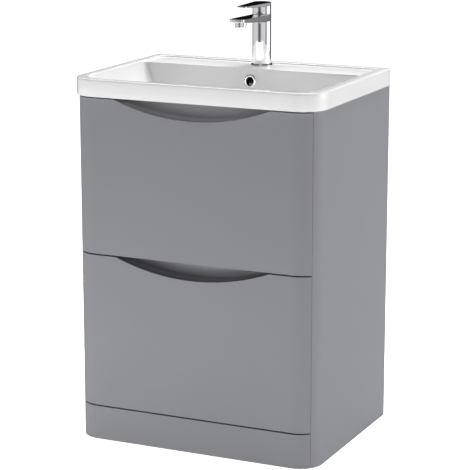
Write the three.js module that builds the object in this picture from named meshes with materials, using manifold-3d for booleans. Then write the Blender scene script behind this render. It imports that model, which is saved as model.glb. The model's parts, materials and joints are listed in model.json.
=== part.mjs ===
// Floor-standing bathroom vanity unit: a two-drawer cabinet with curved front corners, crescent
// grips, a cast basin and a single-lever mixer tap.
//
// Millimetres, +Z up. Inside this file y = 0 is the face of the drawer fronts and y grows towards
// the wall, x = 0 is the middle, z = 0 the floor. The whole unit is then moved so that the origin
// is at the bottom centre of its box.

import * as THREE from "three";
import { mergeVertices } from "three/addons/utils/BufferGeometryUtils.js";
import Module from "manifold-3d";

const wasm = await Module();
wasm.setup();

// ---------------------------------------------------------------- driving sizes

const cabinet = { width: 600, depth: 448, height: 808 };
const cornerRadius = 55;
const board = 18; // painted fronts, plinth and sides
const boxBoard = 15; // drawer boxes
const touch = 0.3; // space left between pieces that rest on each other
const seam = 0.8; // air between a closed front and the side it meets
const plinthHeight = 80;
const frontHeight = 359;
const frontGap = 3;
const grip = { halfChord: 191, drop: 36, depth: 46, halfWidth: 215, below: 34, back: 4 };
const postInner = 267; // inner face of the solid corner post
const postBack = 58; // where the inner parts may start behind the corner posts
const wallGap = 2; // the rear rails stand this far in front of the wall line
const rail = { y: [62, 78], top: [716, 776], middle: [405, 450], rearTopFrom: 700, rearHeight: 98 };
const runner = { length: 350, thickness: 12.4, sheet: 1.2, upperZ: 520, lowerZ: 160 };
// Three channels, one inside the other: half heights, and how far the open edges stand back.
const nest = { fixed: 22.5, middle: 19.6, drawer: 16.8, fixedBack: 2.7, middleBack: 2.1, drawerBack: 4.3 };
const packer = { half: 30, end: 428 };
const lowerBox = { bottom: 94, top: 324 };
const upperBox = { bottom: 456, top: 640 };
const boxBase = { rise: 6, board: 12 };
const wasteNotch = { halfWidth: 95, start: 150 };
const basin = { overhang: 5, frontOverhang: 7, depth: 452, rim: 40, step: 3, wall: 9 };
const tapAt = 386;
const drainAt = 235;
const drainRadius = 23;
const drainBoss = { radius: 40, depth: 15 };
const bowl = { halfX: 280, front: 10, back: 322, depth: 108, frontRound: 50, backRound: 12 };
const overflow = { z: 815, radius: 11.6, seatRadius: 14.9, seatAt: 320.6, faceAt: 318 };
const duct = { halfWidth: 14, front: 333, back: 342, wall: 4, outerHalf: 20, drop: 12 };
const deck = { thickness: 15, tapHole: 17.5 };
const waste = { bore: 18.5, tube: 21.8, flange: 32, flangeHeight: 2.8, length: 78 };
const plug = { rise: 0.6, radius: 31, stem: 4.3, skirt: 17.5 };

// ---------------------------------------------------------------- worked-out places

const halfWidth = cabinet.width / 2;
const sideInner = halfWidth - board;
const arcCentreX = halfWidth - cornerRadius;
const basinTop = cabinet.height + basin.rim;
const deckTop = basinTop - basin.step;
const lowerFrontBottom = plinthHeight + frontGap;
const upperFrontBottom = lowerFrontBottom + frontHeight + frontGap;
const gripRadius = (grip.halfChord ** 2 + grip.drop ** 2) / (2 * grip.drop);
const boxHalfWidth = postInner - touch - runner.thickness - touch;
const boxStart = board + touch;
const boxEnd = boxStart + boxBoard + touch + runner.length;
const floorTop = basinTop - bowl.depth;
const floorUnder = floorTop - basin.wall;

// ---------------------------------------------------------------- materials

function finish(color, roughness, metalness) {
  return new THREE.MeshStandardMaterial({ color, roughness, metalness });
}

const paint = finish(0x87888d, 0.45, 0);
const carcassBoard = finish(0xb9babd, 0.6, 0);
const drawerBoard = finish(0xc9cacb, 0.6, 0);
const castWhite = finish(0xf3f3f2, 0.12, 0);
const chrome = finish(0xd8d9da, 0.05, 1);
const zincSteel = finish(0xa9acb0, 0.3, 1);
const brass = finish(0xb9985a, 0.35, 1);
const blackRubber = finish(0x1b1b1c, 0.8, 0);

// ---------------------------------------------------------------- shapes

function box(x, y, z) {
  const geometry = new THREE.BoxGeometry(x[1] - x[0], y[1] - y[0], z[1] - z[0]);
  return geometry.translate((x[0] + x[1]) / 2, (y[0] + y[1]) / 2, (z[0] + z[1]) / 2);
}

// A plan outline carried up from z0 to z1.
function upright(shape, z0, z1, curveSegments = 16) {
  const options = { depth: z1 - z0, bevelEnabled: false, curveSegments };
  return new THREE.ExtrudeGeometry(shape, options).translate(0, 0, z0);
}

// An outline drawn as (y, z) carried across from x = -half to x = +half.
function across(points, half) {
  const shape = new THREE.Shape(points.map(([y, z]) => new THREE.Vector2(y, z)));
  const geometry = new THREE.ExtrudeGeometry(shape, { depth: 2 * half, bevelEnabled: false });
  const axes = new THREE.Matrix4().makeBasis(
    new THREE.Vector3(0, 1, 0),
    new THREE.Vector3(0, 0, 1),
    new THREE.Vector3(1, 0, 0),
  );
  return geometry.applyMatrix4(axes).translate(-half, 0, 0);
}

// A closed or axis-to-axis profile of [radius, height] turned about the Z axis through (x, y).
function turned(profile, x = 0, y = 0, segments = 40) {
  const points = profile.map(([r, z]) => new THREE.Vector2(r, z));
  if (THREE.ShapeUtils.area(points) < 0) points.reverse();
  const closed = points[0].x > 0 || points.at(-1).x > 0;
  if (closed) points.push(points[0].clone());
  return new THREE.LatheGeometry(points, segments).rotateX(Math.PI / 2).translate(x, y, 0);
}

function tube(outer, inner, z0, z1) {
  return [
    [inner, z0],
    [outer, z0],
    [outer, z1],
    [inner, z1],
  ];
}

function rod(radius, z0, z1) {
  return [
    [0, z0],
    [radius, z0],
    [radius, z1],
    [0, z1],
  ];
}

// The same profile turned about an axis that runs back along Y at (x = 0, z).
function turnedAlongY(profile, z, segments = 32) {
  return turned(profile, 0, 0, segments).rotateX(-Math.PI / 2).translate(0, 0, z);
}

// A flat-sided nut with a round bore, its axis upright at (x = 0, y).
function nut(radius, sides, bore, z, y) {
  const height = z[1] - z[0];
  const blank = new THREE.CylinderGeometry(radius, radius, height, sides).rotateX(Math.PI / 2);
  blank.translate(0, y, (z[0] + z[1]) / 2);
  return cut(blank, turned(rod(bore, z[0] - 1, z[1] + 1), 0, y));
}

// A skin over rings of equal length, closed by a fan at each end.
function loft(rings) {
  const count = rings[0].length;
  const points = rings.flat();
  const index = [];
  for (let r = 0; r + 1 < rings.length; r++) {
    for (let i = 0; i < count; i++) {
      const a = r * count + i;
      const b = r * count + ((i + 1) % count);
      index.push(a, b, b + count, a, b + count, a + count);
    }
  }
  const first = points.length;
  const last = rings.length - 1;
  points.push(centreOf(rings[0]), centreOf(rings[last]));
  for (let i = 0; i < count; i++) {
    const next = (i + 1) % count;
    index.push(first, next, i);
    index.push(first + 1, last * count + i, last * count + next);
  }
  return new THREE.BufferGeometry().setFromPoints(points).setIndex(index);
}

function centreOf(ring) {
  const sum = ring.reduce((total, point) => total.add(point), new THREE.Vector3());
  return sum.divideScalar(ring.length);
}

// ---------------------------------------------------------------- joining and cutting

function solid(geometry) {
  const bare = new THREE.BufferGeometry();
  const source = geometry.index ? geometry.toNonIndexed() : geometry;
  bare.setAttribute("position", source.getAttribute("position"));
  const merged = mergeVertices(bare, 1e-4);
  return new wasm.Manifold(
    new wasm.Mesh({
      numProp: 3,
      vertProperties: merged.attributes.position.array,
      triVerts: new Uint32Array(merged.index.array),
    }),
  );
}

function geometryOf(manifold) {
  const mesh = manifold.getMesh();
  const geometry = new THREE.BufferGeometry();
  geometry.setAttribute("position", new THREE.BufferAttribute(mesh.vertProperties, 3));
  geometry.setIndex(new THREE.BufferAttribute(mesh.triVerts, 1));
  return geometry;
}

function cut(geometry, ...tools) {
  return geometryOf(tools.reduce((rest, tool) => rest.subtract(solid(tool)), solid(geometry)));
}

function join(geometry, ...others) {
  return geometryOf(others.reduce((sum, other) => sum.add(solid(other)), solid(geometry)));
}

function common(a, b) {
  return geometryOf(solid(a).intersect(solid(b)));
}

// ---------------------------------------------------------------- assembly

const unit = new THREE.Group();
unit.position.y = -(cabinet.depth - basin.frontOverhang) / 2;

function add(name, geometry, material) {
  const mesh = new THREE.Mesh(geometry, material);
  mesh.name = name;
  unit.add(mesh);
  return mesh;
}

// The right-hand piece as given, and its mirror image on the left.
function addPair(name, geometry, material) {
  add(`${name}_right`, geometry, material);
  add(`${name}_left`, geometry, material).scale.x = -1;
}

// ---------------------------------------------------------------- carcass

// Angle on the corner arc at a depth behind the face; 0 is where the arc meets the side.
function arcAngle(y) {
  return -Math.asin((cornerRadius - y) / cornerRadius);
}

function sidePanel() {
  const front = board + seam;
  const angle = arcAngle(front);
  const postEnd = postBack - 0.5;
  const shape = new THREE.Shape();
  shape.moveTo(postInner, front);
  shape.lineTo(arcCentreX + cornerRadius * Math.cos(angle), front);
  shape.absarc(arcCentreX, cornerRadius, cornerRadius, angle, 0, false);
  shape.lineTo(halfWidth, cabinet.depth);
  shape.lineTo(sideInner, cabinet.depth);
  shape.lineTo(sideInner, postEnd);
  shape.lineTo(postInner, postEnd);
  return upright(shape, 0, cabinet.height - touch);
}

// A board whose ends follow the corner arc for its own thickness.
function roundedFront(z0, z1) {
  const angle = arcAngle(board);
  const shape = new THREE.Shape();
  shape.absarc(-arcCentreX, cornerRadius, cornerRadius, Math.PI - angle, 1.5 * Math.PI, false);
  shape.absarc(arcCentreX, cornerRadius, cornerRadius, -Math.PI / 2, angle, false);
  return upright(shape, z0, z1);
}

function addCarcass() {
  const between = [-sideInner + touch, sideInner - touch];
  const rear = [cabinet.depth - board, cabinet.depth - wallGap];
  const bottom = [plinthHeight - board, plinthHeight - wallGap];
  const rearTop = [rail.rearTopFrom, cabinet.height - touch];
  const rearBottom = [bottom[0], bottom[0] + board + rail.rearHeight];
  addPair("side_panel", sidePanel(), paint);
  add("plinth", roundedFront(0, plinthHeight), paint);
  add("bottom_panel", box(between, [postBack, rear[0] - touch], bottom), carcassBoard);
  add("back_rail_top", box(between, rear, rearTop), carcassBoard);
  add("back_rail_bottom", box(between, rear, rearBottom), carcassBoard);
  add("front_rail_top", box(between, rail.y, rail.top), carcassBoard);
  add("front_rail_middle", box(between, rail.y, rail.middle), carcassBoard);
}

// ---------------------------------------------------------------- runners

// A channel with its web at the outer x and its flanges reaching in, or the other way round.
function channel(x, halfHeight, y, z, webAtOuter) {
  const { sheet } = runner;
  const hollowX = webAtOuter ? [x[0] - 1, x[1] - sheet] : [x[0] + sheet, x[1] + 1];
  const hollowZ = [z - halfHeight + sheet, z + halfHeight - sheet];
  const hollow = box(hollowX, [y[0] - 1, y[1] + 1], hollowZ);
  return cut(box(x, y, [z - halfHeight, z + halfHeight]), hollow);
}

function addRunners(level, z) {
  const outer = postInner - touch;
  const inner = boxHalfWidth + touch;
  const start = boxStart + boxBoard + touch;
  const span = [start, start + runner.length];
  const packerZ = [z - packer.half, z + packer.half];
  const packerBlock = box([postInner, sideInner - touch], [postBack, packer.end], packerZ);
  addPair(`${level}_runner_packer`, packerBlock, carcassBoard);
  const fixed = channel([inner + nest.fixedBack, outer], nest.fixed, span, z, true);
  addPair(`${level}_runner_fixed`, fixed, zincSteel);
  const middleX = [inner + nest.middleBack, outer - nest.middleBack];
  const middle = channel(middleX, nest.middle, [span[0] + 2, span[1] - 2], z, true);
  addPair(`${level}_runner_middle`, middle, zincSteel);
  const moving = channel([inner, outer - nest.drawerBack], nest.drawer, span, z, false);
  addPair(`${level}_runner_drawer`, moving, zincSteel);
}

// ---------------------------------------------------------------- drawers

// The round cutter that leaves the crescent: it dips grip.drop below the front's top edge.
function crescentCutter(top, y0, y1) {
  const radius = gripRadius;
  const cutter = new THREE.CylinderGeometry(radius, radius, y1 - y0, 180);
  return cutter.translate(0, (y0 + y1) / 2, 0).translate(0, 0, top - grip.drop + radius);
}

function drawerFront(bottom) {
  const top = bottom + frontHeight;
  return cut(roundedFront(bottom, top), crescentCutter(top, -1, board + 1));
}

// The block behind the front that forms the floor and back of the finger pocket.
function gripHousing(frontTop) {
  const z = [frontTop - grip.drop - grip.below, frontTop - 4];
  const block = box([-grip.halfWidth, grip.halfWidth], [boxStart, grip.depth + grip.back], z);
  return cut(block, crescentCutter(frontTop, boxStart - 1, grip.depth));
}

function addDrawerCommon(level, frontBottom, size) {
  const frontTop = frontBottom + frontHeight;
  const sideY = [boxStart + boxBoard + touch, boxEnd];
  const z = [size.bottom, size.top];
  add(`${level}_drawer_front`, drawerFront(frontBottom), paint);
  add(`${level}_grip_housing`, gripHousing(frontTop), paint);
  const boxFront = box([-boxHalfWidth, boxHalfWidth], [boxStart, boxStart + boxBoard], z);
  add(`${level}_box_front`, boxFront, drawerBoard);
  addPair(`${level}_box_side`, box([boxHalfWidth - boxBoard, boxHalfWidth], sideY, z), drawerBoard);
}

function baseHeights(size) {
  return [size.bottom + boxBase.rise, size.bottom + boxBase.rise + boxBase.board];
}

function addLowerDrawer() {
  addDrawerCommon("lower", lowerFrontBottom, lowerBox);
  const inside = boxHalfWidth - boxBoard - touch;
  const baseZ = baseHeights(lowerBox);
  const start = boxStart + boxBoard + touch;
  add("lower_box_base", box([-inside, inside], [start, boxEnd], baseZ), drawerBoard);
  const backY = [boxEnd - boxBoard, boxEnd];
  const backZ = [baseZ[1] + touch, lowerBox.top];
  add("lower_box_back", box([-inside, inside], backY, backZ), drawerBoard);
}

// The upper drawer is cut out round the waste and its trap, and lined so that it still holds things.
function addUpperDrawer() {
  addDrawerCommon("upper", upperFrontBottom, upperBox);
  const inside = boxHalfWidth - boxBoard - touch;
  const baseZ = baseHeights(upperBox);
  const start = boxStart + boxBoard + touch;
  const notchX = [-wasteNotch.halfWidth, wasteNotch.halfWidth];
  const notchTool = box(notchX, [wasteNotch.start, boxEnd + 1], [baseZ[0] - 1, baseZ[1] + 1]);
  const base = cut(box([-inside, inside], [start, boxEnd], baseZ), notchTool);
  add("upper_box_base", base, drawerBoard);
  const wallZ = [baseZ[1] + touch, upperBox.top];
  const lining = wasteNotch.halfWidth + boxBoard;
  const frontLiningY = [wasteNotch.start - boxBoard, wasteNotch.start];
  add("upper_lining_front", box([-lining, lining], frontLiningY, wallZ), drawerBoard);
  const sideLiningY = [wasteNotch.start + touch, boxEnd];
  const sideLining = box([wasteNotch.halfWidth, lining], sideLiningY, wallZ);
  addPair("upper_lining", sideLining, drawerBoard);
  const back = box([lining + touch, inside], [boxEnd - boxBoard, boxEnd], wallZ);
  addPair("upper_box_back", back, drawerBoard);
}

// ---------------------------------------------------------------- basin

// An outline of four straight sides and four round corners, counter-clockwise from above.
function roundedRing(halfX, y0, y1, frontRadius, backRadius, z) {
  const steps = 10;
  const corners = [
    [-halfX + frontRadius, y0 + frontRadius, frontRadius, Math.PI],
    [halfX - frontRadius, y0 + frontRadius, frontRadius, 1.5 * Math.PI],
    [halfX - backRadius, y1 - backRadius, backRadius, 0],
    [-halfX + backRadius, y1 - backRadius, backRadius, 0.5 * Math.PI],
  ];
  const ring = [];
  for (const [x, y, radius, start] of corners) {
    for (let i = 0; i <= steps; i++) {
      const angle = start + (i / steps) * (Math.PI / 2);
      ring.push(new THREE.Vector3(x + radius * Math.cos(angle), y + radius * Math.sin(angle), z));
    }
  }
  return ring;
}

// The bowl narrows as it goes down: steep sides and back, and a long ramp at the front. Share is
// the part of the full depth that a ring lies at, and its corners open out as it goes down.
function bowlRing(share, grow) {
  const round = 1 - Math.sqrt(1 - share * share);
  const halfX = bowl.halfX - 28 * share - 45 * round + grow;
  const front = bowl.front + 150 * share ** 0.85 - grow;
  const back = bowl.back - 30 * round + grow;
  const z = basinTop - bowl.depth * share - grow;
  const frontRound = bowl.frontRound + 10 * share;
  const backRound = bowl.backRound + 14 * share;
  return roundedRing(halfX, front, back, frontRound, backRound, z);
}

function bowlSolid(grow) {
  const shares = [1, 0.98, 0.93, 0.84, 0.72, 0.58, 0.42, 0.25, 0.1, 0];
  const rings = shares.map((share) => bowlRing(share, grow));
  const lid = rings.at(-1).map((point) => point.clone().setZ(point.z + 5));
  return loft([...rings, lid]);
}

function basinOutline() {
  const halfX = halfWidth + basin.overhang;
  const y0 = -basin.frontOverhang;
  const radius = cornerRadius + 6;
  return [cabinet.height, basinTop].map((z) =>
    roundedRing(halfX, y0, y0 + basin.depth, radius, 8, z),
  );
}

const ductX = [-duct.halfWidth, duct.halfWidth];

function addBasin() {
  const back = basin.depth - basin.frontOverhang;
  // Where the bowl's outer skin rises into the rim block, it is the block that is seen.
  const belowRim = box([-400, 400], [-50, 500], [700, cabinet.height + 12]);
  const skin = common(bowlSolid(basin.wall), belowRim);
  const bossZ = [floorUnder - drainBoss.depth, floorUnder + 4];
  const boss = turned(rod(drainBoss.radius, ...bossZ), 0, drainAt);
  const body = join(loft(basinOutline()), skin, boss);

  const deckRings = [deckTop, basinTop + 5].map((z) =>
    roundedRing(bowl.halfX, bowl.back - 40, back - 26, 3, 26, z),
  );
  const underDeckZ = [cabinet.height - 1, deckTop - deck.thickness];
  const underDeck = box([-250, 250], [352, 418], underDeckZ);
  const ductTopZ = [cabinet.height - 1, overflow.z + duct.drop];
  const ductTop = box(ductX, [duct.front, duct.back], ductTopZ);
  const slotY = [drainAt + 15, drainAt + drainBoss.radius + 5];
  const drainSlot = box(ductX, slotY, [floorUnder - duct.drop, floorUnder - 4]);
  const mouth = turnedAlongY(rod(overflow.radius, 300, 338), overflow.z);
  const ringSeat = turnedAlongY(rod(overflow.seatRadius, 300, overflow.seatAt), overflow.z);
  const drainHole = turned(rod(drainRadius, floorUnder - 30, floorUnder + 30), 0, drainAt);
  const tapHole = turned(rod(deck.tapHole, cabinet.height, basinTop), 0, tapAt);
  const openings = [underDeck, ductTop, drainSlot, mouth, ringSeat, drainHole, tapHole];
  add("basin", cut(body, bowlSolid(0), loft(deckRings), ...openings), castWhite);
}

// The trough bonded behind and below the bowl; it takes the overflow's water down to the drain boss.
function addOverflow() {
  const outerX = [-duct.outerHalf, duct.outerHalf];
  const outerBack = duct.back + duct.wall;
  const outerBottom = floorUnder - drainBoss.depth;
  const under = box(outerX, [drainAt + 20, outerBack], [outerBottom, floorUnder + 1]);
  const riser = box(outerX, [290, outerBack], [outerBottom, cabinet.height - touch]);
  const waterwayZ = [floorUnder - duct.drop, cabinet.height + 1];
  const waterway = box(ductX, [drainAt, duct.back], waterwayZ);
  const bossTool = turned(rod(drainBoss.radius + touch, outerBottom - 1, floorUnder + 2), 0, drainAt);
  const trough = cut(join(under, riser), bowlSolid(basin.wall + touch), waterway, bossTool);
  add("overflow_trough", trough, castWhite);

  // A flanged ring that lines the overflow mouth.
  const face = overflow.faceAt;
  const flangeBack = face + 2.3;
  const ringProfile = [
    [10.2, face],
    [13.5, face],
    [14.5, face + 1],
    [14.5, flangeBack],
    [11.2, flangeBack],
    [11.2, face + 12],
    [10.2, face + 12],
  ];
  add("overflow_ring", turnedAlongY(ringProfile, overflow.z), chrome);
}

// ---------------------------------------------------------------- waste

function addWaste() {
  const flangeTop = floorTop + waste.flangeHeight;
  const bodyProfile = [
    [waste.bore, floorTop - waste.length],
    [waste.tube, floorTop - waste.length],
    [waste.tube, floorTop + touch],
    [waste.flange, floorTop + touch],
    [waste.flange - 2, flangeTop],
    [waste.bore, flangeTop],
  ];
  const spiderZ = [floorTop - 26, floorTop - 20];
  const hub = turned(tube(8, 4.9, ...spiderZ), 0, drainAt);
  const spokeY = [drainAt - 1.5, drainAt + 1.5];
  const spokes = [
    box([7, waste.bore + 1], spokeY, spiderZ),
    box([-waste.bore - 1, -7], spokeY, spiderZ),
  ];
  const body = join(turned(bodyProfile, 0, drainAt), hub, ...spokes);
  // The overflow's water runs in through a slot at the front and one at the back.
  const slots = box([-9, 9], [drainAt - 30, drainAt + 30], [spiderZ[1] + 1, floorUnder - 4]);
  add("waste_body", cut(body, slots), chrome);

  const capZ = flangeTop + plug.rise;
  const plugProfile = [
    [0, floorTop - 40],
    [plug.stem, floorTop - 40],
    [plug.stem, floorTop - 6],
    [plug.skirt, floorTop - 3],
    [plug.skirt, capZ],
    [plug.radius, capZ],
    [plug.radius - 2, capZ + 4],
    [0, capZ + 6],
  ];
  add("waste_plug", turned(plugProfile, 0, drainAt), chrome);

  const nutTop = floorUnder - drainBoss.depth - touch;
  add("waste_nut", nut(33, 8, waste.tube + 0.4, [nutTop - 13.7, nutTop], drainAt), brass);
}

// ---------------------------------------------------------------- mixer tap

const tap = {
  radius: 22,
  collarHeight: 4,
  spoutTop: deckTop + 120,
  spoutReach: 146,
  spoutTipHalf: 18,
  aerator: 119,
  aeratorTop: deckTop + 106,
  capBottom: deckTop + 121,
  rearTop: deckTop + 148.5,
  tipTop: deckTop + 149.5,
  leverReach: 117,
  leverTipHalf: 12,
  cartridge: 17.2,
  shank: 15,
};

// A plan outline: a half circle round the tap's axis that tapers forward to a rounded end.
function paddle(radius, reach, tipHalf, tipRadius) {
  const shape = new THREE.Shape();
  const tip = tapAt - reach;
  shape.absarc(0, tapAt, radius, 0, Math.PI, false);
  shape.lineTo(-tipHalf, tip + tipRadius);
  shape.absarc(-tipHalf + tipRadius, tip + tipRadius, tipRadius, Math.PI, 1.5 * Math.PI, false);
  shape.absarc(tipHalf - tipRadius, tip + tipRadius, tipRadius, 1.5 * Math.PI, 2 * Math.PI, false);
  return shape;
}

function tapBody() {
  const { radius, spoutTop, spoutReach, aerator, aeratorTop } = tap;
  const base = deckTop + tap.collarHeight + touch;
  const column = turned(rod(radius, base, spoutTop), 0, tapAt, 48);
  const planOutline = paddle(radius, spoutReach, tap.spoutTipHalf, 8);
  const plan = upright(planOutline, spoutTop - 40, spoutTop + 10, 12);
  const tip = tapAt - spoutReach - 1;
  const columnFront = tapAt - radius;
  const columnBack = tapAt + radius + 1;
  const side = across(
    [
      [tip, spoutTop - 5],
      [columnFront, spoutTop - 16],
      [columnBack, spoutTop - 16],
      [columnBack, spoutTop],
      [columnFront, spoutTop],
      [tip, spoutTop + 3],
    ],
    40,
  );
  const spout = common(plan, side);
  const boss = turned(rod(13.5, aeratorTop, spoutTop - 4), 0, tapAt - aerator);
  const hollow = turned(rod(17, base - 1, spoutTop - 35), 0, tapAt);
  const seatBottom = spoutTop - 26;
  const seat = turned(rod(tap.cartridge + 0.6, seatBottom, spoutTop + 1), 0, tapAt);
  const waterwayZ = spoutTop - 3.6;
  const waterway = turnedAlongY(rod(2.4, tapAt - aerator, tapAt - 12), waterwayZ);
  const outlet = turned(rod(9, spoutTop - 20, waterwayZ), 0, tapAt - aerator, 32);
  return cut(join(column, spout, boss), hollow, seat, waterway, outlet);
}

function tapLever() {
  const { radius, capBottom, rearTop, tipTop, leverReach } = tap;
  const plan = upright(paddle(radius, leverReach, tap.leverTipHalf, 5), capBottom, tipTop + 5, 12);
  const tip = tapAt - leverReach - 1;
  const capFront = tapAt - radius - 1;
  const capBack = tapAt + radius + 1;
  const side = across(
    [
      [tip, tipTop - 3],
      [capFront, rearTop - 9],
      [capFront, capBottom],
      [capBack, capBottom],
      [capBack, rearTop],
      [tip, tipTop],
    ],
    40,
  );
  const inside = turned(rod(radius - 2, capBottom - 1, rearTop - 12), 0, tapAt, 48);
  return cut(common(plan, side), inside);
}

function addTap() {
  const { spoutTop, aerator, aeratorTop, capBottom, cartridge, shank } = tap;
  const collarTop = deckTop + tap.collarHeight;
  const collar = [
    [shank + 0.5, deckTop + touch],
    [26, deckTop + touch],
    [26, deckTop + 2],
    [24, collarTop],
    [shank + 0.5, collarTop],
  ];
  add("tap_base_ring", turned(collar, 0, tapAt, 48), chrome);
  add("tap_body", tapBody(), chrome);

  const aeratorProfile = [
    [8, aeratorTop - 5],
    [12.6, aeratorTop - 5],
    [13, aeratorTop - touch],
    [8, aeratorTop - touch],
  ];
  add("tap_aerator", turned(aeratorProfile, 0, tapAt - aerator, 32), chrome);

  const neckTop = capBottom + 1;
  const cartridgeProfile = [
    [0, spoutTop - 25.7],
    [cartridge, spoutTop - 25.7],
    [cartridge, spoutTop - 4],
    [11, spoutTop - 1],
    [11, neckTop],
    [0, neckTop],
  ];
  add("tap_cartridge", turned(cartridgeProfile, 0, tapAt, 32), brass);
  add("tap_spindle", turned(rod(14, neckTop + touch, neckTop + 8), 0, tapAt, 32), zincSteel);
  add("tap_lever", tapLever(), chrome);

  add("tap_shank", turned(tube(shank, 12, deckTop - 42, collarTop), 0, tapAt), brass);
  const washerTop = deckTop - deck.thickness - touch;
  const washerZ = [washerTop - 2.7, washerTop];
  add("tap_washer", turned(tube(26, shank + 0.4, ...washerZ), 0, tapAt), blackRubber);
  const nutTop = washerZ[0] - touch;
  add("tap_nut", nut(24, 6, shank + 0.3, [nutTop - 10.7, nutTop], tapAt), brass);
}

// ---------------------------------------------------------------- the unit

addCarcass();
addRunners("upper", runner.upperZ);
addRunners("lower", runner.lowerZ);
addUpperDrawer();
addLowerDrawer();
addBasin();
addOverflow();
addWaste();
addTap();

export default unit;
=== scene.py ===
"""The looks of a bathroom vanity unit: curved painted fronts, cast basin and chrome mixer tap.

Everything is in metres, in the frame's own axes: +X right, +Y towards the wall, +Z up. New pieces
are surfaces worked out as whole arrays: outlines carried up or across, closed rings joined in a
skin, and profiles turned about an axis. Each takes its place from the frame's own pieces.
"""

import json
import math

import bmesh
import bpy
import numpy as np
from mathutils import Matrix, Vector


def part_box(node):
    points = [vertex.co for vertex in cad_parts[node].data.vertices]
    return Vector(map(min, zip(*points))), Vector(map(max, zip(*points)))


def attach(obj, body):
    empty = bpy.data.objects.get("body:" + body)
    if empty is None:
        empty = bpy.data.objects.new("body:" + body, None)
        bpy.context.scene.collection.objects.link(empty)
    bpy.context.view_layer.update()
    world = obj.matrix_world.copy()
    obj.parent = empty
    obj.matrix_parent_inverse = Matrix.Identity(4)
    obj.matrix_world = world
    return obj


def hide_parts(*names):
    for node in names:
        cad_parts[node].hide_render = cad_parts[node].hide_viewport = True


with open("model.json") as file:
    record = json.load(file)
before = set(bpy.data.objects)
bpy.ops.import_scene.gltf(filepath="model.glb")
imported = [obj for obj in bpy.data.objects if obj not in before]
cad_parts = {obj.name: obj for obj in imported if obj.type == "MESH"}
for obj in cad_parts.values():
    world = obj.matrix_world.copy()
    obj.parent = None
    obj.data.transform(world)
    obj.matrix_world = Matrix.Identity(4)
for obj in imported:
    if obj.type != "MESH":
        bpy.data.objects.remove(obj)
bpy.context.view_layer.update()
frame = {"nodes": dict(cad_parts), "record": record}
NODES = frame["nodes"]

# ------------------------------------------------------------------ sizes of this unit

CORNER = 0.055
BOARD = 0.018
POST_INNER = 0.267
POST_END = CORNER + 0.0025  # the corner post's depth behind the face
SEAM = 0.0008
BOARD_ROUND = 0.0005
GRIP_CHORD, GRIP_DROP = 0.191, 0.036
GRIP_RADIUS = (GRIP_CHORD**2 + GRIP_DROP**2) / (2 * GRIP_DROP)
GRIP_DEPTH = 0.046
GRIP_LIP = 0.004  # the grip housing stands this far below the top of its front
GRIP_COVE = 0.0025  # the radius between the pocket's shelf and its upright plate

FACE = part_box("upper_drawer_front")[0][1]  # the plane of the drawer fronts
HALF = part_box("side_panel_right")[1][0]
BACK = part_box("side_panel_right")[1][1]


# ------------------------------------------------------------------ making meshes

HARD_EDGE = 32.0  # degrees: sharper edges stay hard, or are rounded on a piece with a bevel
MERGE = 2e-6  # points of a new piece closer than this become one
CAD_MERGE = 1e-5  # the same for the loose triangles of the frame's pieces
SPECK = 1e-7  # edges shorter than this are taken out


def grid_quads(rows, columns, start=0, close_rows=False, close_columns=False):
    """Quads over a rows x columns grid of points, wrapping round where it is closed."""
    r = np.arange(rows if close_rows else rows - 1)
    c = np.arange(columns if close_columns else columns - 1)
    r, c = np.meshgrid(r, c, indexing="ij")
    r2, c2 = (r + 1) % rows, (c + 1) % columns
    quads = np.stack([r * columns + c, r * columns + c2, r2 * columns + c2, r2 * columns + c], -1)
    return quads.reshape(-1, 4) + start


def make_piece(name, shells, material, body, replaces=(), bevel=0.0, sharp=HARD_EDGE):
    """One object from (points, faces) shells: doubles merged, faces turned outwards."""
    mesh = bpy.data.meshes.new(name)
    points, faces, start = [], [], 0
    for shell_points, shell_faces in shells:
        shell_points = np.asarray(shell_points, float).reshape(-1, 3)
        points.append(shell_points)
        for block in shell_faces:
            faces.extend((np.asarray(block) + start).tolist())
        start += len(shell_points)
    mesh.from_pydata(np.concatenate(points).tolist(), [], faces)
    working = bmesh.new()
    working.from_mesh(mesh)
    bmesh.ops.remove_doubles(working, verts=working.verts, dist=MERGE)
    bmesh.ops.dissolve_degenerate(working, edges=working.edges, dist=SPECK)
    bmesh.ops.recalc_face_normals(working, faces=working.faces)
    working.to_mesh(mesh)
    working.free()
    mesh.shade_smooth()
    mesh.set_sharp_from_angle(angle=math.radians(sharp))
    obj = bpy.data.objects.new(name, mesh)
    bpy.context.scene.collection.objects.link(obj)
    mesh.materials.append(material)
    if bevel:
        soften(obj, bevel)
    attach(obj, body)
    if replaces:
        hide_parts(*replaces)
    return obj


def soften_cad(obj, width):
    """A frame piece is loose triangles: its corners are joined first, so its edges can be round."""
    joined = obj.modifiers.new("joined corners", "WELD")
    joined.merge_threshold = CAD_MERGE
    soften(obj, width, 2)


def soften(obj, width, segments=3):
    """A round of that width along every edge sharper than HARD_EDGE."""
    round_edges = obj.modifiers.new("soft edges", "BEVEL")
    round_edges.width = width
    round_edges.segments = segments
    round_edges.limit_method = "ANGLE"
    round_edges.angle_limit = math.radians(HARD_EDGE)
    round_edges.harden_normals = True


def upright(outline, low, high):
    """An outline (n, 2) carried straight up from low to high, with a flat face at each end."""
    outline = np.asarray(outline, float)
    n = len(outline)
    low = np.broadcast_to(low, n)
    high = np.broadcast_to(high, n)
    bottom = np.column_stack([outline, low])
    top = np.column_stack([outline, high])
    walls = grid_quads(2, n, close_columns=True)
    return np.concatenate([bottom, top]), [walls, [list(range(n))], [list(range(n, 2 * n))]]


def across(sections):
    """Sections (rows, n, 3), one after the other, joined in a skin with a face at each end."""
    rows, n = sections.shape[:2]
    first = [list(range(n))]
    last = [list(range((rows - 1) * n, rows * n))]
    return sections.reshape(-1, 3), [grid_quads(rows, n, close_columns=True), first, last]


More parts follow.
